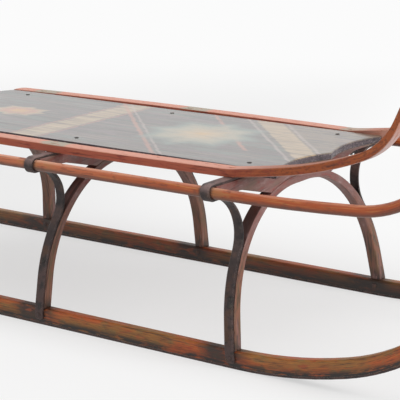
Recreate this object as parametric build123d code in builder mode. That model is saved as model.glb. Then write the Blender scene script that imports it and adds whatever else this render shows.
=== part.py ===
import os
from math import asin, atan2, cos, degrees, hypot, radians, sin, sqrt, tan

from build123d import *

# Child's bentwood sled. Millimetres, +X forward, +Y left, +Z up, floor at Z = 0.
# Stations along the sled are measured from the front arch's feet. The frame's origin lies
# under the middle of the whole length, so every station is moved by the one value "shift".
# Bends are given as a radius and a turn in degrees.

# Runners and their iron shoes
runner_outer = 193.5    # outer face, from the middle plane
runner_w = 18.0
runner_h = 19.5
runner_round = 5.0      # rounding of the two top edges
shoe_t = 3.0
shoe_share = 0.55       # how far round the last bend the shoe goes
tail_x = -738.0         # rear end
tail_round = 13.0
lift_x = 9.0            # the runner leaves the floor here
lift_r = 601.0
lift_turn = 14.8
rise_r = 290.0
rise_turn = 13.2
curl_turn = 67.0        # the large bend in front, its radius is worked out below
tip_turn = 65.0         # the last bend, up to the pull bar

# Deck and deck rails
deck_top = 240.0
rail_w = 21.0
rail_t = 10.4
rail_soft = 0.6         # bevel of the long edges
rail_mid_y = 156.5      # middle line of the rail at the middle arch
plan_bow = 4600.0       # radius of the rails' bow in plan
deck_drop = 0.8         # the deck's top lies this much under the rails'
deck_soft = 1.2         # bevel of the front edge and the stern
deck_gap = 0.6          # between deck and rail at the deck's corners
deck_front_x = 27.0     # corners and middle point of the front edge
scallop = 11.0          # depth of the two hollows
deck_rear_x = -628.0    # corners of the stern
stern = 32.0            # how far the stern bulges
rail_level_x = -34.0    # the rail starts to rise here
rail_start_r = 120.0
rail_start_turn = 6.7
rail_long_r = 1700.0
rail_long_turn = 2.2
rail_rise_r = 450.0
rail_rise_turn = 13.0
rail_tip_r = 80.0
rail_tip_turn = 45.4
rail_thin = 10.0        # the under face bends this much tighter, so the tip is thinner
rail_past = 20.0        # the rail's end goes past the bar

# Pull bar, in front of the rails' tips and through the runners' tips
bar_r = 8.0
bar_along = 94.0        # from the end of the rail's last bend
bar_overhang = 6.0      # past the runner's outer face
bar_fit = 0.15          # play in the runner's eye
eye_wall = 5.0

# Arches
foot_gap = 303.0        # from arch to arch, along the runners
arch_lean = 0.135       # lean of the front and the rear arch, run over rise
arch_w = 15.0           # along the sled
leg_t = 15.0            # across, at the foot
crown_under = 196.0     # height of the crown's underside
crown_t = 10.0
crown_flat = 15.0       # half of the level stretch between the two shoulders
flare_in = 27.0         # how far the inner corner stands in from the foot
flare_out = 30.0        # the same for the outer corner
arch_soft = 1.3         # bevel of the long edges inside, also under the arms

# Hand rails
hand_r = 7.0
hand_fit = 0.15         # play in the strap's bend
seat_gap = 0.3          # between round pieces that are bolted together
hand_rear_x = -650.0
hand_lift_x = -4.0
hand_long_r = 2680.0
hand_long_turn = 3.9
hand_rise_r = 136.0
hand_rise_turn = 28.0
hand_end_r = 220.0
hand_end_turn = 34.0

# Arms, saddles and straps
strap_t = 3.5
strap_soft = 1.2        # bevel of the outer edges
strap_w = 13.0
strap_low = 7.0         # lower end, above the floor
strap_bend_r = 47.0     # the bend outwards, from the leg to the hand rail
strap_reach = 100.0     # inner end of the upper leaf, from the middle plane
arm_bend_top = 150.0    # the arm bends down here, top edge
arm_bend_low = 140.0    # the same for the lower edge
arm_slope = 0.256
arm_bend_r = 60.0
saddle_w = 66.0
saddle_l = 13.0

os.makedirs("parts", exist_ok=True)

# Heights and distances that follow from the sizes above
runner_y = runner_outer - runner_w / 2
runner_top = shoe_t + runner_h
rail_under = deck_top - rail_t
arm_top = rail_under - strap_t
arm_low = arm_top - 2 * (hand_r + hand_fit)
hand_z = (arm_top + arm_low) / 2
hand_y = runner_outer + hand_r + seat_gap
eye_r = bar_r + eye_wall
depth = arch_lean * deck_top + arch_w    # reach of the open profiles before they are trimmed
SIDES = (("left", 1), ("right", -1))


def step(point, heading, size, turn):
    """End point and heading of a line (turn 0) or of an arc with this radius."""
    x, z = point
    a = radians(heading)
    if turn == 0:
        return (x + size * cos(a), z + size * sin(a)), heading
    b = radians(heading + turn)
    side = 1 if turn > 0 else -1
    return (x + side * size * (sin(b) - sin(a)), z + side * size * (cos(a) - cos(b))), heading + turn


def walk(point, heading, steps):
    """End point and heading of a whole path."""
    for size, turn in steps:
        point, heading = step(point, heading, size, turn)
    return point, heading


def draw(point, heading, steps, push=0.0):
    """Draw a path of lines and arcs, pushed to the right, and return its end."""
    for size, turn in steps:
        a = radians(heading)
        start = (point[0] + push * sin(a), point[1] - push * cos(a))
        radius = size + push if turn > 0 else size - push
        if turn == 0:
            Line(start, (start[0] + size * cos(a), start[1] + size * sin(a)))
        elif radius > 0:
            JernArc(start, (cos(a), sin(a)), radius, turn)
        point, heading = step(point, heading, size, turn)
    a = radians(heading)
    return point[0] + push * sin(a), point[1] - push * cos(a)


def upright(y=0.0):
    """The plane along the sled at this distance from the middle, drawn in X and Z."""
    return Plane(origin=(0, y, 0), x_dir=(1, 0, 0), z_dir=(0, -1, 0))


def across(x, y=0.0, z=0.0):
    """The plane across the sled at this place, drawn in Y and Z."""
    return Plane(origin=(x, y, z), x_dir=(0, 1, 0), z_dir=(1, 0, 0))


def save(name, builder):
    builder.part.label = name
    export_step(builder.part, f"parts/{name}.step")


# The rail's under face decides where the pull bar lies
top_bends = (
    (rail_start_r, rail_start_turn),
    (rail_long_r, rail_long_turn),
    (rail_rise_r, rail_rise_turn),
    (rail_tip_r, rail_tip_turn),
)
under_bends = (
    (rail_start_r + rail_t, rail_start_turn),
    (rail_long_r + rail_t, rail_long_turn),
    (rail_rise_r + rail_t, rail_rise_turn),
    (rail_tip_r + rail_t - rail_thin, rail_tip_turn),
)
(seat_x, seat_z), rail_lean = walk((rail_level_x, rail_under), 0.0, (*under_bends, (bar_along, 0)))
bar_x = seat_x + (bar_r + seat_gap) * sin(radians(rail_lean))
bar_z = seat_z - (bar_r + seat_gap) * cos(radians(rail_lean))

# The two bends of the curl are solved so that the middle of the runner's tip meets the bar
(low_x, low_z), low_heading = walk((lift_x, shoe_t), 0.0, ((lift_r, lift_turn), (rise_r, rise_turn)))
h0 = radians(low_heading)
h1 = radians(low_heading + curl_turn)
h2 = radians(low_heading + curl_turn + tip_turn)
go_x = bar_x + runner_h / 2 * sin(h2) - low_x
go_z = bar_z - runner_h / 2 * cos(h2) - low_z
curl_x, curl_z = sin(h1) - sin(h0), cos(h0) - cos(h1)
tip_x, tip_z = sin(h2) - sin(h1), cos(h1) - cos(h2)
curl_r = (go_x * tip_z - go_z * tip_x) / (curl_x * tip_z - curl_z * tip_x)
tip_r = (curl_x * go_z - curl_z * go_x) / (curl_x * tip_z - curl_z * tip_x)
nose_x = low_x + curl_r * (1 - sin(h0)) + shoe_t
shift = (tail_x + nose_x) / 2

# Runners and shoes, swept along the line between wood and iron
floor_run = (lift_x - tail_x, 0)
lift = ((lift_r, lift_turn), (rise_r, rise_turn), (curl_r, curl_turn))
for side, s in SIDES:
    y = s * runner_y
    with BuildPart() as runner:
        with BuildLine(upright(y)):
            draw((tail_x - shift, shoe_t), 0.0, (floor_run, *lift, (tip_r, tip_turn)))
        with BuildSketch(across(tail_x - shift, y, shoe_t)):
            with Locations((0, runner_h / 2)):
                Rectangle(runner_w, runner_h)
            fillet(vertices().sort_by(Axis.Y)[-2:], runner_round)
        sweep()
        with BuildSketch(upright(y)):
            with Locations((bar_x - shift, bar_z)):
                Circle(eye_r)
        extrude(amount=runner_w / 2, both=True)
        with BuildSketch(upright(y)):
            with Locations((bar_x - shift, bar_z)):
                Circle(bar_r + bar_fit)
        extrude(amount=runner_w, both=True, mode=Mode.SUBTRACT)
        with BuildSketch(upright(y)):
            with Locations((tail_x + tail_round / 2 - shift, runner_top - tail_round / 2)):
                Rectangle(tail_round, tail_round)
            with Locations((tail_x + tail_round - shift, runner_top - tail_round)):
                Circle(tail_round, mode=Mode.SUBTRACT)
        extrude(amount=runner_w, both=True, mode=Mode.SUBTRACT)
    save(f"runner_{side}", runner)

    with BuildPart() as shoe:
        with BuildLine(upright(y)):
            draw((tail_x - shift, shoe_t), 0.0, (floor_run, *lift, (tip_r, shoe_share * tip_turn)))
        with BuildSketch(across(tail_x - shift, y, shoe_t)):
            with Locations((0, -shoe_t / 2)):
                Rectangle(runner_w, shoe_t)
        sweep()
    save(f"shoe_{side}", shoe)

# Pull bar
with BuildPart() as pull_bar:
    with BuildSketch(upright()):
        with Locations((bar_x - shift, bar_z)):
            Circle(bar_r)
    extrude(amount=runner_outer + bar_overhang, both=True)
    chamfer(edges().filter_by(GeomType.CIRCLE), bar_r / 4)
save("pull_bar", pull_bar)


def rail_y(x):
    """Middle line of the deck rail at this station."""
    away = x + foot_gap
    return rail_mid_y - (plan_bow - sqrt(plan_bow * plan_bow - away * away))


# Deck: straight sides, so that the bowed rails leave a gap in the middle, two hollows in
# front that meet in a point, a round stern
edge = rail_w / 2 + deck_gap
front_y = rail_y(deck_front_x) - edge
rear_y = rail_y(deck_rear_x) - edge
front_x = deck_front_x - shift
hollow_x = front_x - scallop
rear_x = deck_rear_x - shift
middle_x = -foot_gap - shift
with BuildPart() as deck:
    with BuildSketch(Plane.XY.offset(rail_under)):
        with BuildLine():
            ThreePointArc((front_x, front_y), (hollow_x, front_y / 2), (front_x, 0))
            ThreePointArc((front_x, 0), (hollow_x, -front_y / 2), (front_x, -front_y))
            Line((front_x, -front_y), (rear_x, -rear_y))
            ThreePointArc((rear_x, -rear_y), (rear_x - stern, 0), (rear_x, rear_y))
            Line((rear_x, rear_y), (front_x, front_y))
        make_face()
    extrude(amount=rail_t - deck_drop)
    chamfer(edges().filter_by(GeomType.CIRCLE), deck_soft)
save("deck", deck)

# Deck rails: a strip bent in the upright plane, then trimmed to the bow in plan
level_run = (rail_level_x - deck_rear_x, 0)
tip_run = (bar_along + rail_past, 0)
rail_front = bar_x + rail_past
for side, s in SIDES:
    with BuildPart() as rail:
        with BuildSketch(upright()):
            with BuildLine():
                top_end = draw((rear_x, deck_top), 0.0, (level_run, *top_bends, tip_run))
                under_end = draw((rear_x, rail_under), 0.0, (level_run, *under_bends, tip_run))
                Line((rear_x, deck_top), (rear_x, rail_under))
                Line(top_end, under_end)
            make_face()
        extrude(amount=rail_mid_y + rail_w, both=True)
        with BuildSketch(Plane.XY):
            with BuildLine():
                ends = []
                for push in (-rail_w / 2, rail_w / 2):
                    rear = (rear_x, s * (rail_y(deck_rear_x) + push))
                    front = (rail_front - shift, s * (rail_y(rail_front) + push))
                    ThreePointArc(rear, (middle_x, s * (rail_mid_y + push)), front)
                    ends.append((rear, front))
                Line(ends[0][0], ends[1][0])
                Line(ends[0][1], ends[1][1])
            make_face()
        extrude(amount=2 * bar_z, mode=Mode.INTERSECT)
        stern_edges = edges().filter_by(Axis.Z).group_by(Axis.X)[0]
        fillet(stern_edges.sort_by(lambda e: abs(e.center().Y))[-1], rail_w / 2)
        chamfer(edges().sort_by(SortBy.LENGTH)[-4:], rail_soft)
    save(f"deck_rail_{side}", rail)

# Hand rails
hand_path = (
    (hand_lift_x - hand_rear_x, 0),
    (hand_long_r, hand_long_turn),
    (hand_rise_r, hand_rise_turn),
    (hand_end_r, hand_end_turn),
)
for side, s in SIDES:
    with BuildPart() as hand_rail:
        with BuildLine(upright(s * hand_y)):
            draw((hand_rear_x - shift, hand_z), 0.0, hand_path)
        with BuildSketch(across(hand_rear_x - shift, s * hand_y, hand_z)):
            Circle(hand_r)
        sweep()
        rings = edges().filter_by(GeomType.CIRCLE).sort_by(Axis.X)
        fillet([rings[0], rings[-1]], hand_r / 2)
    save(f"hand_rail_{side}", hand_rail)


def leaning(x, lean, width):
    """Corners of the upright slice that a leaning arch lies in, drawn in X and Z."""
    low, high = -shoe_t, deck_top + strap_t
    back = x - width / 2 - lean * runner_top
    front = x + width / 2 - lean * runner_top
    return (
        (back + lean * low, low),
        (front + lean * low, low),
        (front + lean * high, high),
        (back + lean * high, high),
    )


def shoulder(foot, corner, top):
    """Bend radius that leaves the level stretch of the crown."""
    leg_angle = atan2(foot - corner, top - runner_top)
    return (corner - crown_flat) / tan(radians(45) - leg_angle / 2)


def hoop(foot, corner, top):
    """Draw the area under an arch face: leaning legs, round shoulders, level crown."""
    Polygon((-foot, runner_top), (foot, runner_top), (corner, top), (-corner, top), align=None)
    fillet(vertices().sort_by(Axis.Y)[-2:], shoulder(foot, corner, top))


crown_top = crown_under + crown_t
foot_in = runner_outer - leg_t
outer_face = (runner_outer, runner_outer - flare_out, crown_top)
inner_face = (foot_in, foot_in - flare_in, crown_under)

# The strap's path along its inner face: runner's side, leg, bend outwards, round the hand
# rail, back over the arm
shoulder_r = shoulder(*outer_face)
knee_z = crown_top - shoulder_r
leg_angle = degrees(atan2(flare_out, crown_top - runner_top))
leg_run = hypot(flare_out, crown_top - runner_top) - (runner_outer - flare_out - crown_flat)
leave_angle = degrees(asin((arm_low - knee_z - strap_bend_r) / (shoulder_r + strap_bend_r)))
bend_y = crown_flat + (shoulder_r + strap_bend_r) * cos(radians(leave_angle))
strap_path = (
    (runner_top - strap_low, 0),
    (0.0, leg_angle),
    (leg_run, 0),
    (shoulder_r, leave_angle - leg_angle),
    (strap_bend_r, -90 - leave_angle),
    (hand_y - bend_y, 0),
    (hand_r + hand_fit, 180),
    (hand_y - strap_reach, 0),
)

# name, station of the feet, lean as run over rise
ARCHES = (
    ("front", 0.0, -arch_lean),
    ("middle", -foot_gap, 0.0),
    ("rear", -2 * foot_gap, arch_lean),
)
for name, foot_x, lean in ARCHES:
    x = foot_x - shift
    with BuildPart() as arch:
        with BuildSketch(across(x)):
            hoop(*outer_face)
        extrude(amount=depth, both=True)
        with BuildSketch(upright()):
            Polygon(*leaning(x, lean, arch_w), align=None)
        extrude(amount=runner_outer, both=True, mode=Mode.INTERSECT)
        with BuildSketch(across(x)):
            hoop(*inner_face)
        extrude(amount=depth, both=True, mode=Mode.SUBTRACT)
        inner_edges = [e for e in edges(Select.LAST) if e.length > 1.5 * arch_w]
        chamfer(inner_edges, arch_soft)
    save(f"arch_{name}", arch)

    with BuildPart() as saddle:
        with BuildSketch(across(x)):
            with Locations((0, (crown_under + rail_under) / 2)):
                Rectangle(saddle_w, rail_under - crown_under)
        extrude(amount=depth, both=True)
        with BuildSketch(across(x)):
            hoop(*outer_face)
        extrude(amount=depth, both=True, mode=Mode.SUBTRACT)
        with BuildSketch(upright()):
            Polygon(*leaning(x, lean, saddle_l), align=None)
        extrude(amount=runner_outer, both=True, mode=Mode.INTERSECT)
    save(f"saddle_{name}", saddle)

    for side, s in SIDES:
        arm_end = hand_y - hand_r - seat_gap
        inner_y = saddle_w / 2
        with BuildPart() as arm:
            with BuildSketch(across(x)):
                Polygon(
                    (s * arm_end, arm_top),
                    (s * arm_bend_top, arm_top),
                    (s * inner_y, arm_top - arm_slope * (arm_bend_top - inner_y)),
                    (s * inner_y, arm_low - arm_slope * (arm_bend_low - inner_y)),
                    (s * arm_bend_low, arm_low),
                    (s * arm_end, arm_low),
                    align=None,
                )
                bends = [v for v in vertices() if round(abs(v.X), 3) in (arm_bend_top, arm_bend_low)]
                fillet(bends, arm_bend_r)
            extrude(amount=depth, both=True)
            with BuildSketch(across(x)):
                hoop(*outer_face)
            extrude(amount=depth, both=True, mode=Mode.SUBTRACT)
            with BuildSketch(upright()):
                Polygon(*leaning(x, lean, arch_w), align=None)
            extrude(amount=runner_outer, both=True, mode=Mode.INTERSECT)
            chamfer(edges().filter_by(Axis.Y).group_by(Axis.Z)[0], arch_soft)
        save(f"arm_{name}_{side}", arm)

        with BuildPart() as strap:
            with BuildSketch(across(x)):
                with BuildLine():
                    first = (runner_outer, strap_low)
                    inner_end = draw(first, 90.0, strap_path)
                    outer_end = draw(first, 90.0, strap_path, strap_t)
                    Line(first, (runner_outer + strap_t, strap_low))
                    Line(inner_end, outer_end)
                make_face()
            extrude(amount=depth, both=True)
            with BuildSketch(upright()):
                Polygon(*leaning(x, lean, strap_w), align=None)
            extrude(amount=hand_y + 2 * hand_r, both=True, mode=Mode.INTERSECT)
            low_edges = edges().filter_by(Axis.Y).group_by(Axis.Z)[0]
            fillet(low_edges, 0.3 * strap_w)
            low_lines = [e for e in edges().filter_by(GeomType.LINE) if e.center().Z < runner_top]
            outer_lines = [e for e in low_lines if e.center().Y > runner_outer + strap_soft]
            chamfer(outer_lines, strap_soft)
            if s < 0:
                mirror(about=Plane.XZ, mode=Mode.REPLACE)
        save(f"strap_{name}_{side}", strap)

print(f"length {nose_x - tail_x:.1f}, bar at {bar_x - shift:.2f}, {bar_z:.2f}, rail lean {rail_lean:.1f}")
print(f"curl {curl_r:.1f} then {tip_r:.1f}, shift {shift:.3f}, shoulder {shoulder_r:.1f}")
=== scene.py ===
# %% [markdown]
# A child's bentwood sled, dressed for the studio. The construction comes as a fixed frame
# of finished solids in metres, +X to the front, +Y to the sled's left, +Z up. This lesson
# never moves those solids. It gives each one its worn finish, adds the bolts, screws,
# rivets and nuts that hold an old sled together, and sets up light and camera.

from functools import partialmethod
from math import asin, atan, cos, pi, radians, sin, sqrt, tan

import bmesh
import bpy
from mathutils import Matrix, Vector
from mathutils.bvhtree import BVHTree


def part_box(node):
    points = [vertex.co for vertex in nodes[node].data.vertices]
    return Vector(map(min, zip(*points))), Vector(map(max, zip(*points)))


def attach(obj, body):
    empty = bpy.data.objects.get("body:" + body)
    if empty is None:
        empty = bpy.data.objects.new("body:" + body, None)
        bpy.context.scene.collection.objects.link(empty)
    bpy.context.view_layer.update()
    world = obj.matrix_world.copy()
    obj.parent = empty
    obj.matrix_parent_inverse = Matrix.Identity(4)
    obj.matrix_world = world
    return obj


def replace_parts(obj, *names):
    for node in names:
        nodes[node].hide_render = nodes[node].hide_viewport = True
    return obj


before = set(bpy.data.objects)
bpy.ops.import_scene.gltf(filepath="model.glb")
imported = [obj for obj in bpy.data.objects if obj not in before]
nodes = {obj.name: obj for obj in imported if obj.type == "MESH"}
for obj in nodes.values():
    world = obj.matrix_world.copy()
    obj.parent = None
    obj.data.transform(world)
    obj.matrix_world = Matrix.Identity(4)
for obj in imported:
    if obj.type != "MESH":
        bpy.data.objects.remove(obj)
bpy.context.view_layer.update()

# %% [markdown]
# Everything on a sled is measured from its crossbars, so the first thing to know is where
# they are. Each arch leans, so its feet and its top stand at different places along the
# sled. Both can be read from the solids: the middle of the lowest or the highest vertices.

# %% Where the arches stand
SIDES = {"left": 1, "right": -1}
ARCHES = ("front", "middle", "rear")
SLICE = 0.0004  # vertices this close to an end count as lying on it


def end_x(node, highest):
    """Middle place along the sled of a node's lowest or highest vertices."""
    low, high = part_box(node)
    z = high.z if highest else low.z
    xs = [v.co.x for v in nodes[node].data.vertices if abs(v.co.z - z) < SLICE]
    return (min(xs) + max(xs)) / 2


foot_x = {arch: end_x(f"arch_{arch}", highest=False) for arch in ARCHES}
bar_x = {arch: end_x(f"arm_{arch}_left", highest=True) for arch in ARCHES}
station_zero = foot_x["front"]
runner_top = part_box("arch_middle")[0].z
arm_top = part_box("arm_middle_left")[1].z


def arch_x(arch, z):
    """Place along the sled of a leaning arch's middle at this height."""
    lean = (bar_x[arch] - foot_x[arch]) / (arm_top - runner_top)
    return foot_x[arch] + lean * (z - runner_top)


print("feet at", {k: round(v, 3) for k, v in foot_x.items()})
print("crossbars at", {k: round(v, 3) for k, v in bar_x.items()})

# %% [markdown]
# The camera stands in front of the sled's right side, a little above the deck, and looks
# down on it through a long lens. Its yaw, pitch and place were worked out from the straight
# edges of the runners and arches. The picture is square, so the sensor width alone sets the
# angle of view.

# %% Camera
camera_place = Vector((station_zero + 0.99158, -1.69375, 0.65006))
camera_yaw = 34.625
camera_pitch = 13.692
focal_share = 3.87735  # focal length over picture width

scene = bpy.context.scene
camera_data = bpy.data.cameras.new("camera")
camera_data.sensor_width = 36.0
camera_data.lens = focal_share * camera_data.sensor_width
camera = bpy.data.objects.new("camera", camera_data)
camera.location = camera_place
camera.rotation_euler = (radians(90 - camera_pitch), 0.0, radians(camera_yaw))
scene.collection.objects.link(camera)
scene.camera = camera
print("lens", round(camera_data.lens, 1), "mm")

# %% [markdown]
# A small language for finishes. Old paint is a sum of many simple things: streaks along the
# grain, dirt near the ground, bare wood where hands and boots rubbed. Wiring those up node
# by node hides the idea, so the class Field stands for one number that changes over a
# surface, and Python's own signs add and multiply such numbers. Each sign makes one Math
# node behind the scenes.

# %% Fields: arithmetic that builds shader nodes
class Field:
    """A number that changes over a surface: one socket in a finish's node tree."""

    def __init__(self, finish, socket):
        self.finish = finish
        self.socket = socket

    def math(self, operation, *others):
        node = self.finish.node("ShaderNodeMath", operation=operation)
        for socket, value in zip(node.inputs, (self, *others)):
            self.finish.feed(socket, value)
        return Field(self.finish, node.outputs[0])

    __add__ = __radd__ = partialmethod(math, "ADD")
    __sub__ = partialmethod(math, "SUBTRACT")
    __mul__ = __rmul__ = partialmethod(math, "MULTIPLY")
    __abs__ = partialmethod(math, "ABSOLUTE")
    least = partialmethod(math, "MINIMUM")
    most = partialmethod(math, "MAXIMUM")
    over = partialmethod(math, "GREATER_THAN")

    def __rsub__(self, other):
        return (self * -1.0) + other

    def ease(self, start, end):
        """0 before start, 1 after end, a smooth step between them (start may be the larger)."""
        node = self.finish.node("ShaderNodeMapRange", interpolation_type="SMOOTHSTEP")
        first, last = (0.0, 1.0) if start < end else (1.0, 0.0)
        given = {"Value": self, "From Min": min(start, end), "From Max": max(start, end)}
        for key, value in {**given, "To Min": first, "To Max": last}.items():
            self.finish.feed(node.inputs[key], value)
        return Field(self.finish, node.outputs["Result"])


print("Field is ready")

# %% [markdown]
# A Finish is one material under construction. It knows where a surface point lies, because
# the solids sit at the frame's own origin and object coordinates are real metres. It can lay
# noise over any three fields, lay coats of colour one over the other, and find edges: the
# Bevel node turns the normal near a sharp edge, so the angle between that normal and the
# plain one is a mask of the edges, just where paint wears off first.

# %% Finishes: a material under construction
class Finish:
    """A material with shortcuts for the recipes below."""

    def __init__(self, name):
        self.material = bpy.data.materials.new(name)
        self.material.use_nodes = True
        self.tree = self.material.node_tree
        self.shader = self.tree.nodes["Principled BSDF"]
        coordinates = self.node("ShaderNodeTexCoord")
        self.x, self.y, self.z = self.split(coordinates.outputs["Object"])
        _, self.face_y, self.face_z = self.split(coordinates.outputs["Normal"])
        self.soft_normal = None

    def node(self, kind, **settings):
        made = self.tree.nodes.new(kind)
        for key, value in settings.items():
            setattr(made, key, value)
        return made

    def feed(self, socket, value):
        """Link a field or a socket, or write a constant on the socket itself."""
        if isinstance(value, Field):
            self.tree.links.new(value.socket, socket)
        elif isinstance(value, bpy.types.NodeSocket):
            self.tree.links.new(value, socket)
        elif isinstance(value, tuple):
            socket.default_value = (*value, 1.0)
        else:
            socket.default_value = value

    def split(self, vector):
        node = self.node("ShaderNodeSeparateXYZ")
        self.tree.links.new(vector, node.inputs[0])
        return [Field(self, out) for out in node.outputs]

    def noise(self, x, y, z, detail=4.0, rough=0.55):
        """Noise between 0 and 1 over three fields, already scaled to cells per metre."""
        place = self.node("ShaderNodeCombineXYZ")
        for socket, value in zip(place.inputs, (x, y, z)):
            self.feed(socket, value)
        node = self.node("ShaderNodeTexNoise")
        self.tree.links.new(place.outputs[0], node.inputs["Vector"])
        for key, value in (("Scale", 1.0), ("Detail", detail), ("Roughness", rough)):
            node.inputs[key].default_value = value
        return Field(self, node.outputs[0])

    def blend(self, under, over, amount):
        """Lay one colour over another by a field."""
        node = self.node("ShaderNodeMix", data_type="RGBA")
        for index, value in ((0, amount), (6, under), (7, over)):  # a Mix node's colour sockets
            self.feed(node.inputs[index], value)
        return node.outputs[2]

    def coats(self, ground, rows):
        """Lay coats over a ground. Each row is a chip or a socket, and where it lies."""
        paint = colour(*ground)
        for chip, amount in rows:
            over = colour(*chip) if isinstance(chip, tuple) else chip
            paint = self.blend(paint, over, amount)
        return paint

    def edges(self, width):
        """A mask of the sharp edges. The softened normal is kept for the bump."""
        bevel = self.node("ShaderNodeBevel", samples=6)
        bevel.inputs["Radius"].default_value = width
        self.soft_normal = bevel.outputs["Normal"]
        plain = self.node("ShaderNodeNewGeometry").outputs["Normal"]
        turn = self.node("ShaderNodeVectorMath", operation="DOT_PRODUCT")
        self.feed(turn.inputs[0], self.soft_normal)
        self.feed(turn.inputs[1], plain)
        small_turn, large_turn = 0.99, 0.84  # cosines of the angle between the normals
        return Field(self, turn.outputs["Value"]).ease(small_turn, large_turn)

    def bump(self, height, depth):
        """Relief of this depth in metres, on top of the softened edges."""
        node = self.node("ShaderNodeBump")
        node.inputs["Distance"].default_value = depth
        self.feed(node.inputs["Height"], height)
        if self.soft_normal is not None:
            self.feed(node.inputs["Normal"], self.soft_normal)
        self.feed(self.shader.inputs["Normal"], node.outputs["Normal"])

    def set(self, **values):
        for key, value in values.items():
            self.feed(self.shader.inputs[key.replace("_", " ").title()], value)

    def wear(self, *stems):
        """Dress all solids of these kinds, whatever their arch and side."""
        for name, solid in nodes.items():
            words = [word for word in name.split("_") if word not in (*ARCHES, *SIDES)]
            if "_".join(words) in stems:
                solid.data.materials.clear()
                solid.data.materials.append(self.material)
        print(self.material.name, "has", len(self.tree.nodes), "nodes")


def colour(red, green, blue):
    """A paint chip given in the usual 0 to 255 steps, as linear light."""
    shares = (value / 255 for value in (red, green, blue))
    return tuple(v / 12.92 if v <= 0.04045 else ((v + 0.055) / 1.055) ** 2.4 for v in shares)


print("Finish is ready")

# %% [markdown]
# Bent wood keeps its grain along the bend. A plain stripe pattern along X would cut straight
# across the curl of a runner, so the pattern needs the distance along the bent stick and the
# distance from its line. A stick here is a straight run and then arcs, each with a radius and
# a turn. For an arc, the turn so far is an angle about its centre, and a point belongs to the
# last arc that it has entered.

# %% Coordinates along a bent stick
def along_bends(finish, start, bends):
    """Fields for the distance along a bent stick and for the height above its line."""
    x, z = start
    heading, length = 0.0, 0.0
    along = finish.x - x
    above = finish.z - z
    for radius, turn in bends:
        a = radians(heading)
        b = radians(heading + turn)
        from_x = finish.x - (x - radius * sin(a))
        from_z = finish.z - (z + radius * cos(a))
        forward = from_x * cos(a) + from_z * sin(a)
        outward = from_x * sin(a) - from_z * cos(a)
        angle = forward.math("ARCTAN2", outward)
        away = (from_x * from_x + from_z * from_z).math("SQRT")
        entered = angle.over(0.0)
        along = along + entered * (angle * radius + length - along)
        above = above + entered * (radius - away - above)
        x += radius * (sin(b) - sin(a))
        z += radius * (cos(a) - cos(b))
        length += radius * radians(turn)
        heading += turn
    return along, above


# each arc is a radius in metres and a turn in degrees
runner_bends = ((0.601, 14.8), (0.290, 13.2), (0.2257, 67.0), (0.1609, 65.0))
rail_bends = ((0.120, 6.7), (1.700, 2.2), (0.450, 13.0), (0.080, 45.4))
hand_bends = ((2.680, 3.9), (0.136, 28.0), (0.220, 34.0))
# where each straight run ends, in X and Z
level_rail = [v.co for v in nodes["deck_rail_left"].data.vertices if v.co.x < bar_x["middle"]]
rod_z = sum(corner.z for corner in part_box("arm_front_left")) / 2
runner_start = (station_zero + 0.009, 0.003)
rail_start = (station_zero - 0.034, max(co.z for co in level_rail))
hand_start = (station_zero - 0.004, rod_z)
print("bent sticks:", len(runner_bends), len(rail_bends), len(hand_bends), "arcs")

# %% [markdown]
# All the wood on this sled is read in the same three layers: fine streaks of the grain, a
# mottle about as wide as a finger where paint has thinned, and a slow drift from one end of
# a stick to the other. Only the direction differs, so one helper makes the three layers from
# any distance along a stick and two distances across it. The numbers are cells per metre, few
# along the grain and many across it.

# %% Three layers for every stick
def layers(finish, along, across_a, across_b):
    """Streak, mottle and drift over a stick, each between 0 and 1."""
    streak = finish.noise(along * 16, across_a * 460, across_b * 460, detail=5.0, rough=0.6)
    mottle = finish.noise(along * 42, across_a * 120, across_b * 120, detail=4.0, rough=0.65)
    drift = finish.noise(along * 7, across_a * 34, across_b * 34, detail=3.0)
    return streak, mottle, drift


def near_any(field, places, reach, fade):
    """1 within reach of any of these places along a field, fading out beyond it."""
    nearest = None
    for place in places:
        distance = abs(field - place)
        nearest = distance if nearest is None else nearest.least(distance)
    return nearest.ease(reach + fade, reach)


print("layers are ready")

# %% [markdown]
# The runners wear a thin orange-brown paint that a century of snow has streaked. Olive and
# ochre wood shows through along the grain, the lower edge is black with wet and iron, and
# dirt has gathered round the feet of the arches. The inner sides saw less sun and are darker,
# and painted shade darkens them further, most of all low down.
# A recipe is a ground colour and a list of coats, each with the field that says where it
# lies.

# %% Runner finish
runner = Finish("runner_paint")
along, above = along_bends(runner, runner_start, runner_bends)
streak, mottle, drift = layers(runner, along, above, runner.y)
fleck = runner.noise(along * 42, above * 620, runner.y * 620, detail=4.0, rough=0.65)
edge = runner.edges(width=0.0022)
inner = (runner.face_y * runner.y).ease(-0.02, -0.12)
at_feet = near_any(runner.x + mottle * 0.02, foot_x.values(), reach=0.016, fade=0.03)
dirt = at_feet * mottle.ease(0.3, 0.5)
wet = above.ease(0.0115, 0.0025) * (streak + mottle).ease(0.78, 1.05)
shade = above.ease(0.026, 0.007) * (0.2 + runner.x.ease(-0.1, 0.12) * 0.55)
paint = runner.coats((186, 88, 36), (
    ((158, 104, 48), drift.ease(0.42, 0.6)),  # ochre in long drifts
    ((132, 104, 58), mottle.ease(0.5, 0.64) * 0.8),  # olive wood
    ((168, 66, 38), mottle.ease(0.44, 0.32) * 0.7),  # redder where paint is thick
    ((196, 124, 62), streak.ease(0.56, 0.7) * 0.6),  # pale grain
    ((66, 42, 30), streak.ease(0.46, 0.32) * 0.85),  # dark grain
    ((62, 38, 26), fleck.ease(0.48, 0.36) * 0.65),  # dark flecks
    ((206, 134, 64), fleck.ease(0.56, 0.68) * 0.4),  # light flecks
    ((76, 46, 32), inner * 0.45),  # inner side, less faded by the sun, and painted shade
    ((42, 29, 25), inner * shade),  # painted shade on its lower half
    ((198, 138, 82), edge * mottle.ease(0.4, 0.6) * 0.5),  # rubbed edges
    ((36, 28, 25), wet.most(dirt * 0.9)),  # wet, iron and dirt
))
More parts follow.
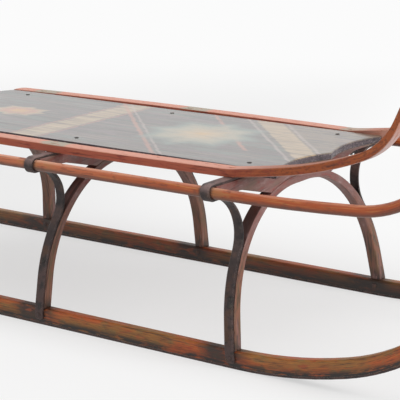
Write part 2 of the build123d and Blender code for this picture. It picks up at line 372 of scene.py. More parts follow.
runner.set(base_color=paint, roughness=0.36 + streak * 0.25)
runner.bump(streak * 0.6 + mottle * 0.4, depth=0.0007)
runner.wear("runner")

# %% [markdown]
# The deck rails are painted red-brown. Their tops are rubbed to a pale salmon by sitting
# children and painted lighter still as a sheen, the paint on the bends in front has turned to
# orange-brown, and most of the bolts on top stand in a patch where the paint has gone to grey
# wood. The undersides of the bends are paler, partly dust and partly painted light. The pull
# bar is painted from the same pot, as brown as the bends all over, but its grain runs across
# the sled.

# %% Deck rail and pull bar finish
def red_brown(finish, along, across_a, across_b, bend):
    """Red-brown paint over a stick that turns browner where bend goes from 0 to 1."""
    streak, mottle, drift = layers(finish, along, across_a, across_b)
    speck = finish.noise(along * 240, across_a * 420, across_b * 420, detail=2.0)
    edge = finish.edges(width=0.0016)
    rubbed = mottle.ease(0.28, 0.48)
    top = finish.face_z.ease(0.4, 0.85)
    level = top * (1.0 - bend)
    under = finish.face_z.ease(-0.15, -0.7)
    inside = (finish.face_y * finish.y).ease(-0.02, -0.09)
    bolts = near_any(finish.x + drift * 0.05 - 0.034, bar_x.values(), reach=0.016, fade=0.01)
    kept = finish.x.ease(0.04, 0.09) * (finish.y * -1.0).ease(0.0, 0.02)  # right side, in front
    patch = bolts * level * mottle.ease(0.3, 0.42) * (1.0 - kept)
    paint = finish.coats((182, 94, 70), (
        ((168, 86, 38), bend),  # brown on the bends
        ((142, 54, 44), mottle.ease(0.52, 0.66) * 0.7),  # deeper red
        ((92, 46, 32), streak.ease(0.47, 0.31) * 0.85),  # dark grain
        ((190, 118, 70), streak.ease(0.55, 0.7) * 0.55),  # pale grain
        ((98, 48, 26), bend * speck.ease(0.52, 0.64) * 0.6),  # specks on the bends
        ((220, 166, 148), inside * bend * rubbed * 0.85),  # inner side of the bends
        ((226, 160, 138), level * rubbed * 0.92),  # rubbed tops, lightened further as a painted sheen
        ((214, 160, 128), edge * streak.ease(0.36, 0.56) * 0.6),  # rubbed edges
        ((74, 46, 36), drift.ease(0.36, 0.26) * (1.0 - top) * 0.6),  # stains
        ((196, 168, 162), under * bend * mottle.ease(0.22, 0.4) * 0.9),  # pale dust below, partly painted light on the undersides
        ((178, 166, 148), patch),  # grey wood by the bolts
    ))
    finish.set(base_color=paint, roughness=0.4 + streak * 0.2)
    finish.bump(streak * 0.6 + mottle * 0.4, depth=0.0005)


rail = Finish("rail_paint")
along, above = along_bends(rail, rail_start, rail_bends)
red_brown(rail, along, above, rail.y, bend=along.ease(-0.03, 0.10))
rail.wear("deck_rail")
bar = Finish("bar_paint")
red_brown(bar, bar.y, bar.x, bar.z, bend=1.0)
bar.wear("pull_bar")

# %% [markdown]
# The hand rails are round rods with a glossy orange-brown varnish. Hands have polished their
# tops, which are painted lighter as a highlight too, and beside each iron band the varnish is
# worn to yellow wood, then black with rust. The undersides are painted darker as shade. A thin
# clear coat over the colour gives the long highlight along the rods.

# %% Hand rail finish
hand = Finish("hand_rail_varnish")
along, above = along_bends(hand, hand_start, hand_bends)
streak, mottle, _ = layers(hand, along, above, hand.y)
front = along.ease(-0.35, 0.0)
beside_irons = near_any(hand.x - 0.012, bar_x.values(), reach=0.014, fade=0.024)
rusty = near_any(hand.x, bar_x.values(), reach=0.0065, fade=0.006)
polish_and_highlight = hand.face_z.ease(0.62, 0.95) * mottle.ease(0.36, 0.5) * (0.6 - front * 0.35)
paint = hand.coats((200, 112, 70), (
    ((176, 78, 24), front),  # deeper in front
    ((120, 56, 26), mottle.ease(0.48, 0.33) * 0.75),  # dark varnish
    ((210, 140, 76), streak.ease(0.53, 0.68) * 0.65),  # pale grain
    ((74, 38, 20), streak.ease(0.44, 0.29) * 0.85),  # dark grain
    ((180, 142, 66), mottle.ease(0.66, 0.74) * 0.7),  # chips to yellow wood
    ((172, 118, 66), beside_irons * mottle.ease(0.42, 0.56) * 0.6),  # worn varnish
    ((58, 42, 34), rusty * 0.85),  # rust at the irons
    ((232, 172, 142), polish_and_highlight),  # polished top, with a painted highlight
    ((76, 40, 27), hand.face_z.ease(0.2, -0.65) * 0.8),  # painted shade on the underside
))
hand.set(base_color=paint, roughness=0.34 + streak * 0.2, coat_weight=0.15, coat_roughness=0.12)
hand.bump(streak * 0.6 + mottle * 0.4, depth=0.0005)
hand.wear("hand_rail")

# %% [markdown]
# The arches, their arms and the saddles share a red paint that has dulled to mauve. On an
# arch the grain runs round the bend, so the pattern uses an angle about the centre of the
# shoulder. On an arm and a saddle it runs straight across the sled. Low on the legs the
# paint is dirty and brown wood shows through. The outer shoulders of the arches are black
# with grime and painted shade, and the tops of the arms are painted black as shade under
# the deck.

# %% Arch, arm and saddle finish
def dull_red(finish, along, across_a, across_b, grime_and_shade):
    """Dull red paint: mauve with dust, brown and dirty low down, black with grime and painted
    shade where the last mask is 1.
    """
    streak, mottle, drift = layers(finish, along, across_a, across_b)
    edge = finish.edges(width=0.0016)
    leg = finish.z.ease(0.185, 0.09)
    foot = finish.z.ease(0.045, 0.022) * mottle.ease(0.35, 0.55)
    dusty = finish.face_z.ease(0.0, -0.8)
    paint = finish.coats((130, 92, 86), (
        ((132, 68, 60), mottle.ease(0.48, 0.64)),  # red that held
        ((158, 130, 128), mottle.ease(0.45, 0.32) * 0.8),  # mauve dust
        ((112, 92, 78), drift.ease(0.5, 0.62) * 0.7),  # grey-brown wood
        ((76, 50, 46), streak.ease(0.46, 0.31) * 0.8),  # dark grain
        ((128, 80, 54), leg * drift.ease(0.38, 0.52) * 0.8),  # brown wood on legs
        ((104, 84, 58), leg * mottle.ease(0.48, 0.6) * 0.7),  # olive wood on legs
        ((54, 39, 33), leg * streak.ease(0.52, 0.36) * 0.85),  # dirt in their grain
        ((42, 30, 29), grime_and_shade * (streak + drift).ease(0.7, 1.0)),  # black grime and painted shade
        ((130, 108, 102), dusty * 0.35),  # dusty undersides
        ((180, 146, 132), edge * streak.ease(0.4, 0.6) * 0.6),  # rubbed edges
        ((40, 32, 30), foot * 0.8),  # wet feet
    ))
    finish.set(base_color=paint, roughness=0.42 + streak * 0.2)
    finish.bump(streak * 0.6 + mottle * 0.4, depth=0.0006)


shoulder_y = 0.015  # the crown is flat as far as this from the middle
shoulder_r = 0.1747  # and then bends down with this outer radius
shoulder_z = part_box("arch_middle")[1].z - shoulder_r
grain_r = 0.17  # makes a length of the angle round the bend
arch = Finish("arch_paint")
out_y = abs(arch.y) - shoulder_y
up_z = arch.z - shoulder_z
round_bend = up_z.math("ARCTAN2", out_y) * grain_r
from_bend = (out_y * out_y + up_z * up_z).math("SQRT")
outer = (arch.face_y * arch.y).ease(0.015, 0.075) * arch.z.ease(0.07, 0.13)
# the outer shoulders turn black: grime, and painted shade under the strap and deck
dull_red(arch, round_bend, from_bend, arch.x, grime_and_shade=outer * 0.8)
arch.wear("arch")
arm = Finish("arm_paint")
sloping_z = arm.z + abs(arm.y) * 0.1
# the arms' tops turn black as painted shade under the deck
dull_red(arm, arm.y, sloping_z, arm.x, grime_and_shade=arm.face_z.ease(0.3, 0.8) * 0.7)
arm.wear("arm", "saddle")

# %% [markdown]
# The straps and shoes are wrought iron, black from the forge and from old paint, with a
# brown bloom of rust in the hollows and bright edges where they rub. Hammering leaves a
# slightly uneven face, which a broad, shallow bump shows better than a fine one. Near the
# deck the straps were painted over together with the arms, and the dust of that paint is
# still there.

# %% Iron finish
def even_noise(finish, cells, detail):
    """Noise with the same number of cells per metre every way."""
    return finish.noise(finish.x * cells, finish.y * cells, finish.z * cells, detail=detail)


iron = Finish("wrought_iron")
bloom = even_noise(iron, 45, detail=4.0)
hammer = even_noise(iron, 110, detail=1.0)
grit = even_noise(iron, 600, detail=2.0)
edge = iron.edges(width=0.0012)
dusty = iron.face_z.ease(-0.1, 0.8) * 0.75 + 0.12
near_deck = iron.z.ease(0.10, 0.2) * abs(iron.y).ease(0.117, 0.123)
metal = iron.coats((44, 38, 38), (
    ((25, 22, 23), hammer.ease(0.35, 0.65)),  # forge black
    ((98, 76, 72), iron.z.ease(0.15, 0.07) * hammer.ease(0.32, 0.56) * 0.6),  # worn low
    ((88, 62, 46), bloom.ease(0.52, 0.68) * 0.75),  # rust
    ((92, 88, 76), (bloom * 0.5 + hammer * 0.5).ease(0.42, 0.32) * 0.5),  # grey scale
    ((142, 118, 114), near_deck * bloom.ease(0.28, 0.55) * dusty),  # paint dust
    ((160, 150, 146), edge * (bloom + grit).ease(0.85, 1.15) * 0.7),  # bright edges
    ((30, 26, 26), grit.ease(0.42, 0.3) * 0.6),  # pits
))
iron.set(base_color=metal, metallic=0.3, roughness=0.42 + bloom * 0.25)
iron.bump(hammer * 0.75 + grit * 0.25, depth=0.0008)
iron.wear("shoe", "strap")

# %% [markdown]
# The deck is one thin board under nearly black paint and an old clear varnish, which mirrors
# the pale studio at a low angle and makes the black look grey. The ground is built first,
# from noise that is drawn out along the board: fine grain, broader boards of tone, scuffs.
# From the last diagonal band on, the black has been rubbed through to brown.

# %% Deck ground
deck = Finish("deck_paint")
ahead = deck.x - station_zero
diagonal = ahead + deck.y * 0.93
grain = deck.noise(deck.x * 9, deck.y * 420, deck.z * 420, detail=5.0, rough=0.65)
broad = deck.noise(deck.x * 3.5, deck.y * 85, deck.z * 85, detail=4.0)
scuff = deck.noise(deck.x * 30, deck.y * 110, deck.z * 110, detail=5.0, rough=0.65)
board = deck.noise(deck.x * 6, deck.y * 150, deck.z * 150, detail=3.0, rough=0.6)
tone = scuff + broad
rubbed = diagonal.ease(-0.075, -0.02) * (grain + scuff).ease(0.8, 1.1)
paint = deck.coats((74, 66, 62), (
    ((140, 120, 106), grain.ease(0.48, 0.66) * 0.75),  # pale grain
    ((84, 104, 96), tone.ease(0.98, 1.22) * 0.6),  # greenish clouds
    ((112, 92, 100), tone.ease(0.96, 0.78) * 0.45),  # mauve clouds
    ((38, 36, 36), (grain + board).ease(0.94, 0.72) * 0.85),  # black paint that held
    ((146, 124, 100), rubbed * 0.6),  # rubbed through in front
))
print("deck ground:", len(deck.tree.nodes), "nodes")

# %% [markdown]
# Over the black lie cream and salmon bands: one straight across, the others on the diagonal.
# A band is simply the distance from a line, so each one is a formula: a field that grows
# across the band, the value at its middle and half its width. Noise moves the edges a little
# and breaks the paint up, as brush and boots did.

# %% Deck bands
cream = colour(194, 166, 128)
salmon = colour(186, 122, 98)
lilac = colour(176, 158, 150)
worn = (grain * 0.5 + scuff * 0.5).ease(0.26, 0.56) * 0.92
streaky = worn * (board.ease(0.36, 0.6) * 0.5 + 0.5)
wander = (scuff - 0.5) * 0.012
thin = worn * 0.75
stopped = deck.y.ease(-0.056, -0.046)  # this line ends short of the right rail


def band(field, middle, half_width, soft=0.0026):
    """1 inside a painted band round this value of a field, with a worn, wandering edge."""
    return abs(field + wander - middle).ease(half_width + soft, half_width - soft)


bands = (
    (ahead, -0.377, 0.0200, cream, streaky),
    (diagonal, -0.0262, 0.0215, cream, streaky),
    (ahead, -0.401, 0.0018, salmon, thin),
    (ahead, -0.353, 0.0018, salmon, thin),
    (diagonal, -0.284, 0.0036, salmon, thin),
    (diagonal, -0.271, 0.0020, lilac, thin),
    (diagonal, -0.119, 0.0034, salmon, thin * stopped),
    (diagonal, -0.061, 0.0026, lilac, thin),
    (diagonal, 0.003, 0.0026, lilac, thin),
)
for field, middle, half_width, chip, cover in bands:
    paint = deck.blend(paint, chip, band(field, middle, half_width) * cover)
print("bands:", len(bands))

# %% [markdown]
# Two faded ornaments sit between the bands, a plain eight-pointed star and a small lozenge.
# An ornament is a set of washes, one inside the other. Each wash reaches as far as a field
# that grows from the ornament's middle. Taking the lesser of two such fields, a square and
# the same square on its corner, gives the eight points.

# %% Deck ornaments
teal = colour(120, 138, 128)
pale = colour(176, 164, 140)
ochre = colour(206, 158, 84)
square_in = 1.35  # how much smaller the upright square is


def ornament(under_paint, field_x, field_y, size, washes):
    """Nested washes of an eight-pointed star, faded towards its rim."""
    x, y = abs(field_x), abs(field_y)
    reach = (x + y).least(x.most(y) * square_in) + scuff * size * 0.25
    laid = under_paint
    for share, chip in washes:
        wash = reach.ease(size * (share + 0.12), size * (share - 0.16))
        laid = deck.blend(laid, chip, wash * worn * 0.85)
    return laid


star = ((1.0, teal), (0.8, pale), (0.5, cream), (0.22, ochre))
lozenge = ((1.0, cream), (0.8, salmon), (0.45, ochre))
paint = ornament(paint, ahead + 0.180, deck.y - 0.008, 0.100, star)
paint = ornament(paint, (ahead + 0.50) * 0.7, deck.y, 0.038, lozenge)
print("washes:", len(star) + len(lozenge))

# %% [markdown]
# The sides of the board are not painted like its top. The sawn front edge is rough end
# grain, with pale torn fibres and dark pores, the upper edge is rubbed, and the underside is
# bare wood. The varnish lies on the top only, as a clear coat that is thicker in some streaks
# than in others.

# %% Deck edges and varnish
speck = deck.noise(deck.x * 800, deck.y * 520, deck.z * 700, detail=2.0)
edge = deck.edges(width=0.0022)
top = deck.face_z.ease(0.3, 0.8)
sides = 1.0 - top
under = deck.face_z.ease(-0.3, -0.8)
bare = deck.blend(colour(128, 92, 60), colour(76, 52, 36), grain.ease(0.55, 0.35))
paint = deck.coats((82, 72, 77), (
    (paint, top),  # painted top
    ((176, 162, 162), sides * speck.ease(0.56, 0.68) * 0.7),  # torn fibres
    ((36, 32, 35), sides * (speck + scuff).ease(0.98, 0.82) * 0.8),  # dark pores
    ((150, 134, 122), edge * scuff.ease(0.46, 0.6) * 0.7),  # rubbed edges
    (bare, under),  # bare underside
))
deck.set(base_color=paint, roughness=0.36 + grain * 0.2, coat_roughness=0.22)
deck.set(coat_weight=top * (0.4 + grain * 0.4 + board * 0.6).least(1.0))
deck.bump(grain * 0.5 + scuff * 0.2 + speck * sides, depth=0.0006)
deck.wear("deck")

# %% [markdown]
# Fasteners have to lie on the real surface and follow its slope. To seat one, a ray is cast
# against the solid that carries it. The ray gives the point and the way the surface faces
# there, and a matrix then stands the fastener's own Z axis on that direction.

# %% Seating on a surface
surfaces = {}


def seat(node, origin, direction):
    """Where a ray meets a solid: the point and the outward normal there, or two Nones."""
    if node not in surfaces:
        mesh = nodes[node].data
        corners = [v.co for v in mesh.vertices]
        surfaces[node] = BVHTree.FromPolygons(corners, [tuple(p.vertices) for p in mesh.polygons])
    ray = Vector(direction).normalized()
    point, normal, _, _ = surfaces[node].ray_cast(Vector(origin), ray)
    if normal is not None and normal.dot(ray) > 0:
        normal = -normal
    return point, normal


def stand(point, normal, spin=0.0):
    """A matrix that puts a shape's own Z axis on a normal."""
    turn = normal.to_track_quat("Z", "Y").to_matrix().to_4x4()
    return Matrix.Translation(point) @ turn @ Matrix.Rotation(spin, 4, "Z")


print("seat and stand are ready")

# %% [markdown]
# Each kind of fastener is a small turned shape: a profile of radius and height, spun about
# its axis. In a mesh that is a stack of rings with faces from each ring to the next. A ring
# with no radius is a single point, which closes a round head.

# %% Turning
def ring(mesh, radius, height, place, sides, corner=0.0):
    """A circle of vertices about Z, or a single one where the radius is nought."""
    if radius == 0:
        return [mesh.verts.new(place @ Vector((0, 0, height)))]
    angles = [corner + 2 * pi * i / sides for i in range(sides)]
    circle = [Vector((radius * cos(a), radius * sin(a), height)) for a in angles]
    return [mesh.verts.new(place @ point) for point in circle]


def bridge(mesh, low_ring, high_ring):
    """Faces from one ring to the next, or from a ring to a point."""
    count = len(low_ring)
    for i in range(count):
        j = (i + 1) % count
        if len(high_ring) == 1:
            mesh.faces.new((low_ring[i], low_ring[j], high_ring[0]))
        else:
            mesh.faces.new((low_ring[i], low_ring[j], high_ring[j], high_ring[i]))


def turned(mesh, profile, place, sides=24, corner=0.0, loop=False):
    """Spin (radius, height) pairs about Z. A loop comes back to its start and has no caps."""
    rings = [ring(mesh, radius, height, place, sides, corner) for radius, height in profile]
    if loop:
        rings.append(rings[0])
    else:
        mesh.faces.new(reversed(rings[0]))
    for low_ring, high_ring in zip(rings, rings[1:]):
        bridge(mesh, low_ring, high_ring)
    if not loop and len(rings[-1]) > 1:
        mesh.faces.new(rings[-1])


def dome(radius, height, steps=5):
    """Profile of a round head with a short straight rim."""
    rim = height * 0.25
    angles = [pi / 2 * i / steps for i in range(steps)]
    arc = [(radius * cos(a), rim + (height - rim) * sin(a)) for a in angles]
    return [(radius, -rim), *arc, (0.0, height)]


def round_head(mesh, node, origin, direction, radius, rise, sides=24):
    """Seat a low round head where a ray meets a solid."""
    turned(mesh, dome(radius, rise), stand(*seat(node, origin, direction)), sides)


print("turning is ready")

# %% [markdown]
# All copies of one kind become one mesh, which is how a workshop would see them too: a box of
# bolts, a box of screws. Round faces are shaded smooth, and edges that turn more than a
# crease stay sharp. The piece then rides with the sled's one body and gets its finish.

# %% Joining
crease = radians(40)


def join(name, mesh, finish):
    """Make the collected shapes one piece that rides with the sled."""
    data = bpy.data.meshes.new(name)
    bmesh.ops.recalc_face_normals(mesh, faces=mesh.faces)
    mesh.to_mesh(data)
    mesh.free()
    data.materials.append(finish.material)
    data.shade_smooth()
    data.set_sharp_from_angle(angle=crease)
    piece = bpy.data.objects.new(name, data)
    scene.collection.objects.link(piece)
    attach(piece, "root")
    print(name, len(data.polygons), "faces")
    return piece


print("join is ready")

# %% [markdown]
# The two hollows in the deck's front edge were sawn by eye, and the right one is cut deeper
# than the left. The CAD deck has both alike, so a copy of the board stands for it, and each
# vertex of the sawn edge is drawn back by a bump that fades out at the corner of the deck
# and at the point in the middle.

# %% Deck board
sawn_x = station_zero + 0.014  # the sawn edge starts here
point_y = 0.003  # where the two hollows meet
deeper = {"left": 0.0015, "right": 0.0065}
skew = 1.3  # above 1 the deepest place lies nearer to the point
deck_low, deck_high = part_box("deck")
hollow = {"left": deck_high.y - point_y, "right": point_y - deck_low.y}
mesh = bmesh.new()
mesh.from_mesh(nodes["deck"].data)
for vert in mesh.verts:
    if vert.co.x < sawn_x:
        continue
    side = "left" if vert.co.y > point_y else "right"
    share = min(abs(vert.co.y - point_y) / hollow[side], 1.0)
    vert.co.x -= deeper[side] * sin(pi * (1.0 - (1.0 - share) ** skew))
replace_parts(join("deck_board", mesh, deck), "deck")

# %% [markdown]
# Each arm is a stick that is bent outwards and scarfed to the arch: its inner end is cut to a
# long wedge that lies on the arch's shoulder, and its top stays close under the deck all the
# way in to the saddle. The plain solid slopes away there, so a fuller piece stands for it.
# Seen from the front an arm is one outline: the straight top, the end at the saddle, the
# arch's round shoulder, the lower edge with its bend. Where the lower edge meets the shoulder
# is found by halving the distance again and again.

# %% Arm outline
fit = 0.0001  # clearance between pieces that touch
scarf_drop = 0.0050  # how far the top falls between the strap and the saddle
saddle_half = 0.009  # half of a saddle's length across the sled
bend_y = 0.140  # the lower edge bends down here
bend_r = 0.060
bend_turn = atan(0.256)
arm_in, arm_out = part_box("arm_middle_left")
arm_w = arm_out.x - arm_in.x
arm_end = arm_out.y
end_face = [v.co for v in nodes["arm_middle_left"].data.vertices if arm_end - v.co.y < SLICE]
arm_low = min(co.z for co in end_face)
leaf_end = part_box("strap_middle_left")[0].y
inner_y = saddle_half + fit
level_y = bend_y + bend_r * tan(bend_turn / 2)


def shoulder_height(y):
    """Height of the arch's outer face at this distance from the middle."""
    return shoulder_z + sqrt((shoulder_r + fit) ** 2 - max(y - shoulder_y, 0.0) ** 2)


def lower_edge(y):
    """Height of the arm's lower edge: level, then a bend, then a straight slope."""
    slope_y = level_y - bend_r * sin(bend_turn)
    if y >= level_y:
        return arm_low
    if y > slope_y:
        return arm_low - bend_r + sqrt(bend_r ** 2 - (level_y - y) ** 2)
    return arm_low - (bend_y - y) * tan(bend_turn)


halvings = 40
meet_y, far_y = inner_y, bend_y
for _ in range(halvings):
    half_way = (meet_y + far_y) / 2
    if lower_edge(half_way) < shoulder_height(half_way):
        meet_y = half_way
    else:
        far_y = half_way
arm_steps = 14
outline = [(arm_end, arm_top - fit), (leaf_end, arm_top - fit), (inner_y, arm_top - scarf_drop)]
for i in range(arm_steps + 1):
    y = inner_y + (meet_y - inner_y) * i / arm_steps
    outline.append((y, shoulder_height(y)))
for i in range(1, arm_steps + 1):
    y = meet_y + (level_y - meet_y) * i / arm_steps
    outline.append((y, lower_edge(y)))
outline.append((arm_end, arm_low))
print("arms meet the arches", round(meet_y, 3), "m from the middle")

# %% [markdown]
# The outline gets the arm's width and leans with its arch. Between the two arms, a saddle
# block fills the space from the arch's crown to the deck. It is as wide as the arms, so that
# arm, block and arm look like one crossbar. All sharp edges are rounded a little.

# %% Arms and saddle blocks
arm_soft = 0.0009  # rounding of the edges
sharp_turn = 1.0  # radians; edges that turn more than this are rounded
faces_x = (-arm_w / 2, arm_w / 2)


def soften(mesh, edges):
    """Round these edges a little."""
    bmesh.ops.bevel(mesh, geom=edges, offset=arm_soft, segments=2, profile=0.5, affect="EDGES")


def arm_mesh(name, s):
    """The outline on this side, as wide as an arm, leaning with its arch."""
    mesh = bmesh.new()
    rings = []
    for face_x in faces_x:
        places = [(arch_x(name, z) + face_x, s * y, z) for y, z in outline]
        rings.append([mesh.verts.new(place) for place in places])
        mesh.faces.new(rings[-1])
    rear, front = rings
    for i in range(len(outline)):
        mesh.faces.new((rear[i - 1], rear[i], front[i], front[i - 1]))
    mesh.normal_update()
    soften(mesh, [e for e in mesh.edges if e.calc_face_angle() > sharp_turn])
    return mesh


def saddle_mesh(name):
    """A block from the arch's crown to the deck, leaning with its arch."""
    mesh = bmesh.new()
    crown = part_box(f"arch_{name}")[1].z
    for z in (crown + fit, deck_low.z - fit):
        for y in (-saddle_half, saddle_half):
            for face_x in faces_x:
                mesh.verts.new((arch_x(name, z) + face_x, y, z))
    bmesh.ops.convex_hull(mesh, input=mesh.verts[:])
    soften(mesh, mesh.edges[:])
    return mesh


for name in ARCHES:
    for side, s in SIDES.items():
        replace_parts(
            join(f"scarfed_arm_{name}_{side}", arm_mesh(name, s), arm),
            f"arm_{name}_{side}",
        )
    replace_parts(join(f"saddle_block_{name}", saddle_mesh(name), arm), f"saddle_{name}")

# %% [markdown]
# Bolts hold each rail to its crossbar. The low round head lies on the rail and was painted
# over with it, the shank goes down through rail, strap and arm, and a square nut under the
# arm pulls it tight. Another bolt of the same kind holds each rail's tip to the pull bar, at
# a right angle to the rail's slope there.

# %% Rail bolts and nuts
bolt_radius = 0.0043
bolt_rise = 0.0009
nut_height = 0.0048
nut_corner = 0.0062 * 1.414  # half a side, and how much farther out a square's corner is
nut_spin = 0.3  # nuts stop where they are tight
shank_radius = 0.0030
nut = ((nut_corner, 0.0), (nut_corner, nut_height * 0.8), (nut_corner * 0.82, nut_height))
shank_end = (
    (shank_radius, nut_height),
    (shank_radius, nut_height * 1.45),
    (shank_radius * 0.7, nut_height * 1.6),
)
rail_slope = radians(sum(turn for _, turn in rail_bends))
tip_normal = Vector((-sin(rail_slope), 0.0, cos(rail_slope)))
bar_low, bar_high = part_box("pull_bar")
bar_middle = (bar_low + bar_high) / 2


def rail_middle(side, x, window=0.03):
    """Middle of a deck rail's width at this place along the sled."""
    mesh = nodes[f"deck_rail_{side}"].data
    ys = [v.co.y for v in mesh.vertices if abs(v.co.x - x) < window]
    return (min(ys) + max(ys)) / 2


heads = bmesh.new()
nuts = bmesh.new()
for side, s in SIDES.items():
    carrier = f"deck_rail_{side}"
    for name in ARCHES:
        x, y = bar_x[name], rail_middle(side, bar_x[name])
        round_head(heads, carrier, (x, y, 1.0), (0, 0, -1), bolt_radius, bolt_rise)
        place = stand(*seat(f"arm_{name}_{side}", (x, y, 0.0), (0, 0, 1)), spin=nut_spin * s)
        turned(nuts, nut, place, sides=4, corner=pi / 4)
        turned(nuts, shank_end, place, sides=12)
    tip = Vector((bar_middle.x, rail_middle(side, bar_middle.x), bar_middle.z))
    round_head(heads, carrier, tip + tip_normal * 0.1, -tip_normal, bolt_radius, bolt_rise * 2)
join("rail_bolts", heads, rail)
join("arm_nuts", nuts, iron)

# %% [markdown]
# Slotted screws fix the deck to the arms, one on each side of every crossbar. The slot is
# real: the head is two halves with a gap, over a disc that closes the bottom of the slot.

# %% Deck screws
screw_radius = 0.0030
screw_rise = 0.0006
screw_y = 0.110
slot_half = 0.0005


def slotted(mesh, place, radius, height, steps=10):
    """A screw head: a disc, and two half rounds that leave a slot."""
    floor_of_slot = height * 0.3
    turned(mesh, [(radius, -floor_of_slot), (radius, floor_of_slot)], place, sides=24)
    start = asin(slot_half / radius)
    for flip in (0.0, pi):
        turn = place @ Matrix.Rotation(flip, 4, "Z")
        rings = []
        for share, level in ((1.0, floor_of_slot), (1.0, height * 0.7), (0.86, height)):
            half_round = []
            for i in range(steps + 1):
                a = start + (pi - 2 * start) * i / steps
                y = max(radius * sin(a) * share, slot_half)
                point = Vector((radius * cos(a) * share, y, level))
                half_round.append(mesh.verts.new(turn @ point))
            rings.append(half_round)
        for low_ring, high_ring in zip(rings, rings[1:]):
            bridge(mesh, low_ring, high_ring)
        mesh.faces.new(rings[-1])
        mesh.faces.new(reversed(rings[0]))


screws = bmesh.new()
for i, name in enumerate(ARCHES):
    for side, s in SIDES.items():
        spin = 0.7 + 1.1 * i + 0.5 * s  # no two slots stop at the same angle
        place = stand(*seat("deck", (bar_x[name], s * screw_y, 1.0), (0, 0, -1)), spin)
        slotted(screws, place, screw_radius, screw_rise)
join("deck_screws", screws, iron)

# %% [markdown]
# Rivets fasten each strap: one through the runner, one half-way up the leg. The far end of
# the lower one is hammered over on the runner's inner side and is a little wider for it.

# %% Strap rivets
rivet_radius = 0.0030
rivet_rise = 0.0013
rivet_heights = (0.0135, 0.085)
hammered = rivet_radius * 1.2
rivets = bmesh.new()


def rivet(node, origin, direction, radius):
    """Add one rivet head to the box of rivets."""
    round_head(rivets, node, origin, direction, radius, rivet_rise, sides=16)


for name in ARCHES:
    for side, s in SIDES.items():
        for z in rivet_heights:
            rivet(f"strap_{name}_{side}", (arch_x(name, z), s, z), (0, -s, 0), rivet_radius)
        low_end = (foot_x[name], 0.0, rivet_heights[0])
        rivet(f"runner_{side}", low_end, (0, s, 0), hammered)
print("rivets:", len(rivets.faces), "faces")

# %% [markdown]
# The front ends of the hand rails lie against the runners, where the two bent sticks cross,
# and a bolt goes through both. That crossing is found by walking along the rod and noting
# where a ray to the side meets the runner.

# %% Hand rail bolts
rod_bolt_radius = rivet_radius * 1.3
walk_steps = 200
hand_length = sum(radius * radians(turn) for radius, turn in hand_bends)


def walk_bends(start, bends, distance):
    """The place in X and Z that lies this far along a bent stick."""
    x, z = start
    a = 0.0
    for radius, turn in bends:
        part = min(distance, radius * radians(turn))
        b = a + part / radius
        x += radius * (sin(b) - sin(a))
        z += radius * (cos(a) - cos(b))
        a = b
        distance -= part
    return x, z


for side, s in SIDES.items():
    crossing = []
    for i in range(walk_steps):
        x, z = walk_bends(hand_start, hand_bends, hand_length * i / walk_steps)
        if seat(f"runner_{side}", (x, s, z), (0, -s, 0))[0] is not None:
            crossing.append((x, z))
    x, z = crossing[len(crossing) // 2]
    rivet(f"hand_rail_{side}", (x, s, z), (0, -s, 0), rod_bolt_radius)
    rivet(f"runner_{side}", (x, 0.0, z), (0, s, 0), rod_bolt_radius)
    print("rod meets runner at", round(x, 3), round(z, 3))
join("strap_rivets", rivets, iron)

# %% [markdown]
# The pull bar goes through the runners' eyes, and a washer on each side keeps it there. The
# washer is a ring: the same turning, with a profile that comes back to its start.

# %% Washers on the pull bar
washer_gap = 0.0001
washer_thick = 0.0014
washer_inner = (bar_high.z - bar_low.z) / 2 + washer_gap
washer_outer = washer_inner + 0.0042
washer = (
    (washer_inner, 0.0),
    (washer_outer, 0.0),
    (washer_outer, washer_thick * 0.7),
    (washer_outer - washer_thick * 0.3, washer_thick),
    (washer_inner, washer_thick),
)
washers = bmesh.new()
for side, s in SIDES.items():
    near, far = sorted(abs(corner.y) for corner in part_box(f"runner_{side}"))
    for y, outward in ((far + washer_gap, s), (near - washer_gap, -s)):
        middle = Vector((bar_middle.x, s * y, bar_middle.z))
        place = stand(middle, Vector((0, outward, 0)))
        turned(washers, washer, place, sides=32, loop=True)
join("bar_washers", washers, iron)

# %% [markdown]
# The studio floor is a wide sheet of pale paper. Where the camera or a reflection looks
# straight at it, most of what it sees is plain white, which is how a white room looks in a
# picture, and the rest is the paper's own shading, which keeps the soft shadow under the
# sled. Away from the sled the paper fades to white.

# %% Floor paper
def seen_rays(tree):
    """1 for rays from the camera and for reflections, 0 for light on its way to a surface."""
    rays = tree.nodes.new("ShaderNodeLightPath")
    seen = rays.outputs["Is Camera Ray"]
    for name in ("Is Glossy Ray", "Is Transmission Ray"):
        node = tree.nodes.new("ShaderNodeMath")
        node.operation = "MAXIMUM"
        tree.links.new(seen, node.inputs[0])
        tree.links.new(rays.outputs[name], node.inputs[1])
        seen = node.outputs[0]
    return seen


half = 7.0
paper_grey = (0.82, 0.816, 0.812)
paper_white = 0.975
least_white = 0.58  # share of plain white right under the sled
floor_data = bpy.data.meshes.new("floor")
corners = [(-half, -half, 0.0), (half, -half, 0.0), (half, half, 0.0), (-half, half, 0.0)]
floor_data.from_pydata(corners, [], [(0, 1, 2, 3)])
floor = bpy.data.objects.new("floor", floor_data)
scene.collection.objects.link(floor)
paper = Finish("floor_paper")
paper.set(base_color=paper_grey, roughness=0.9)
glow = paper.node("ShaderNodeEmission")
paper.feed(glow.inputs["Color"], (paper_white, paper_white, paper_white))
distance = (paper.x * paper.x + paper.y * paper.y).math("SQRT")
# painted light: the paper is whiter on the camera's side and on the far side of the sled
near_side = (paper.y * -1.0).ease(0.17, 0.29) * 0.2
far_side = paper.y.ease(0.2, 0.55) * paper.x.ease(-0.75, -0.2) * 0.3
outside = distance.ease(0.7, 2.4) * 0.4 + near_side + far_side
share = Field(paper, seen_rays(paper.tree)) * (least_white + outside).least(1.0)
sheet = paper.node("ShaderNodeMixShader")
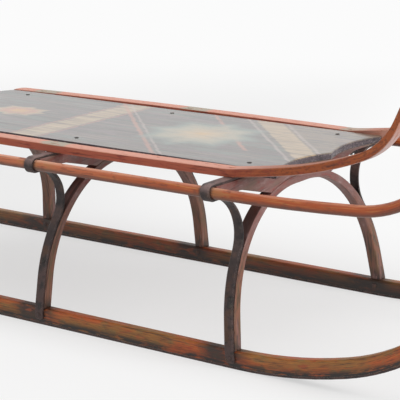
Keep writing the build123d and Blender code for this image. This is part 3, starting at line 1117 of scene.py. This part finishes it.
for socket, value in zip(sheet.inputs, (share, paper.shader.outputs[0], glow.outputs[0])):
    paper.feed(socket, value)
paper.feed(paper.tree.nodes["Material Output"].inputs["Surface"], sheet.outputs[0])
floor_data.materials.append(paper.material)
print("paper", half * 2, "m wide")

# %% [markdown]
# The sky stands for the studio's walls. It uses the same trick as the paper: one even white
# at a moderate strength lights the sled from all sides, and a brighter one is what the
# camera and the varnish see.

# %% Sky
sky_light = 0.48
sky_white = 0.965
world = bpy.data.worlds.new("studio")
scene.world = world
world.use_nodes = True
tree = world.node_tree
tree.nodes.clear()
mixed = tree.nodes.new("ShaderNodeMixShader")
tree.links.new(seen_rays(tree), mixed.inputs[0])
for socket, strength in zip(mixed.inputs[1:], (sky_light, sky_white)):
    background = tree.nodes.new("ShaderNodeBackground")
    background.inputs["Color"].default_value = (1.0, 1.0, 1.0, 1.0)
    background.inputs["Strength"].default_value = strength
    tree.links.new(background.outputs[0], socket)
output = tree.nodes.new("ShaderNodeOutputWorld")
tree.links.new(mixed.outputs[0], output.inputs["Surface"])
print("sky lights with", sky_light, "and shows", sky_white)

# %% [markdown]
# Two soft round panels give the light its direction: a strong one in front of the sled and a
# weaker one above it. A panel mirrored in the varnish would be a hard white patch on the
# deck, so reflections leave the panels out. The Standard view shows colours as they were
# mixed.

# %% Lamps
def soft_lamp(name, place, target, size, power):
    """A round soft panel that looks at a target and leaves no glare on the varnish."""
    data = bpy.data.lights.new(name, "AREA")
    data.shape = "DISK"
    data.size = size
    data.energy = power
    lamp = bpy.data.objects.new(name, data)
    lamp.location = place
    lamp.rotation_euler = (Vector(target) - Vector(place)).to_track_quat("-Z", "Y").to_euler()
    lamp.visible_glossy = False
    scene.collection.objects.link(lamp)
    print(name, power, "W")


soft_lamp("front_panel", (2.7, 0.2, 1.5), target=(0.0, 0.0, 0.15), size=1.8, power=56.0)
soft_lamp("top_panel", (-0.1, -0.3, 2.6), target=(-0.1, 0.0, 0.1), size=2.2, power=14.0)
bpy.context.scene.view_settings.view_transform = "Standard"
